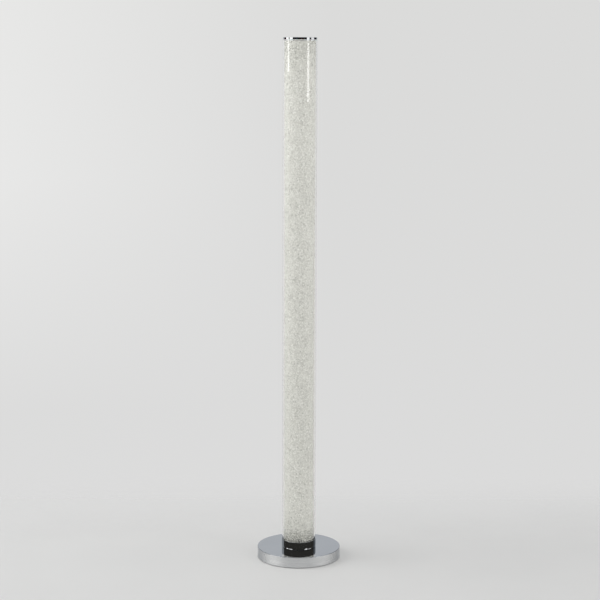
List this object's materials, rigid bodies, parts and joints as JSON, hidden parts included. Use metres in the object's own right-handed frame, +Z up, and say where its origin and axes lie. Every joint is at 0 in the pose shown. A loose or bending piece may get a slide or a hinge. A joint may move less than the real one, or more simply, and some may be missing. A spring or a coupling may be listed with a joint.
{
  "type": "floor lamp",
  "caption": "Floor lamp with a clear column over a crystal-effect sleeve, lit inside by LED strips, on a round chrome base with a chrome collar and cap.",
  "frame": {"origin": "on the floor, under the centre of the round base", "axes": "+Z up along the column, +Y to the rear, where the cord leaves the base"},
  "size_m": [0.2, 0.2016, 1.2435],
  "materials": {
    "chrome_plated_steel": "polished chrome plate",
    "clear_acrylic": "polished extruded acrylic, clear",
    "crystal_acrylic": "frosted acrylic coated with clear facetted granules",
    "cast_iron": "as cast, black primer",
    "zinc_plated_steel": "bright zinc plate",
    "brass": "turned",
    "eva_foam": "closed-cell foam, matte",
    "black_rubber": "moulded, matte",
    "silicone": "translucent silicone",
    "white_nylon": "moulded",
    "extruded_aluminium": "mill finish extrusion",
    "circuit_board": "white solder mask",
    "led_phosphor": "yellow phosphor under clear resin",
    "wire_insulation": "smooth insulation"
  },
  "bodies": {
    "root": {"base_cover": "chrome_plated_steel", "base_weight": "cast_iron", "base_plate": "zinc_plated_steel", "base_pad": "eva_foam", "plate_screws": "zinc_plated_steel", "cord_grommet": "black_rubber", "terminal_block": "white_nylon", "terminal_screws": "brass", "strip_leads": "wire_insulation", "lower_collar": "chrome_plated_steel", "lower_gasket": "silicone", "lower_plug": "white_nylon", "feed_board": "circuit_board", "outer_tube": "clear_acrylic", "crystal_sleeve": "crystal_acrylic", "led_core": "extruded_aluminium", "led_strip_rear": "circuit_board", "led_strip_left": "circuit_board", "led_strip_right": "circuit_board", "leds_rear": "led_phosphor", "leds_left": "led_phosphor", "leds_right": "led_phosphor", "tie_tube": "zinc_plated_steel", "flat_washer": "zinc_plated_steel", "lock_washer": "zinc_plated_steel", "tie_nut": "brass", "upper_plug": "white_nylon", "upper_gasket": "silicone", "top_cap": "chrome_plated_steel"}
  },
  "joints": []
}
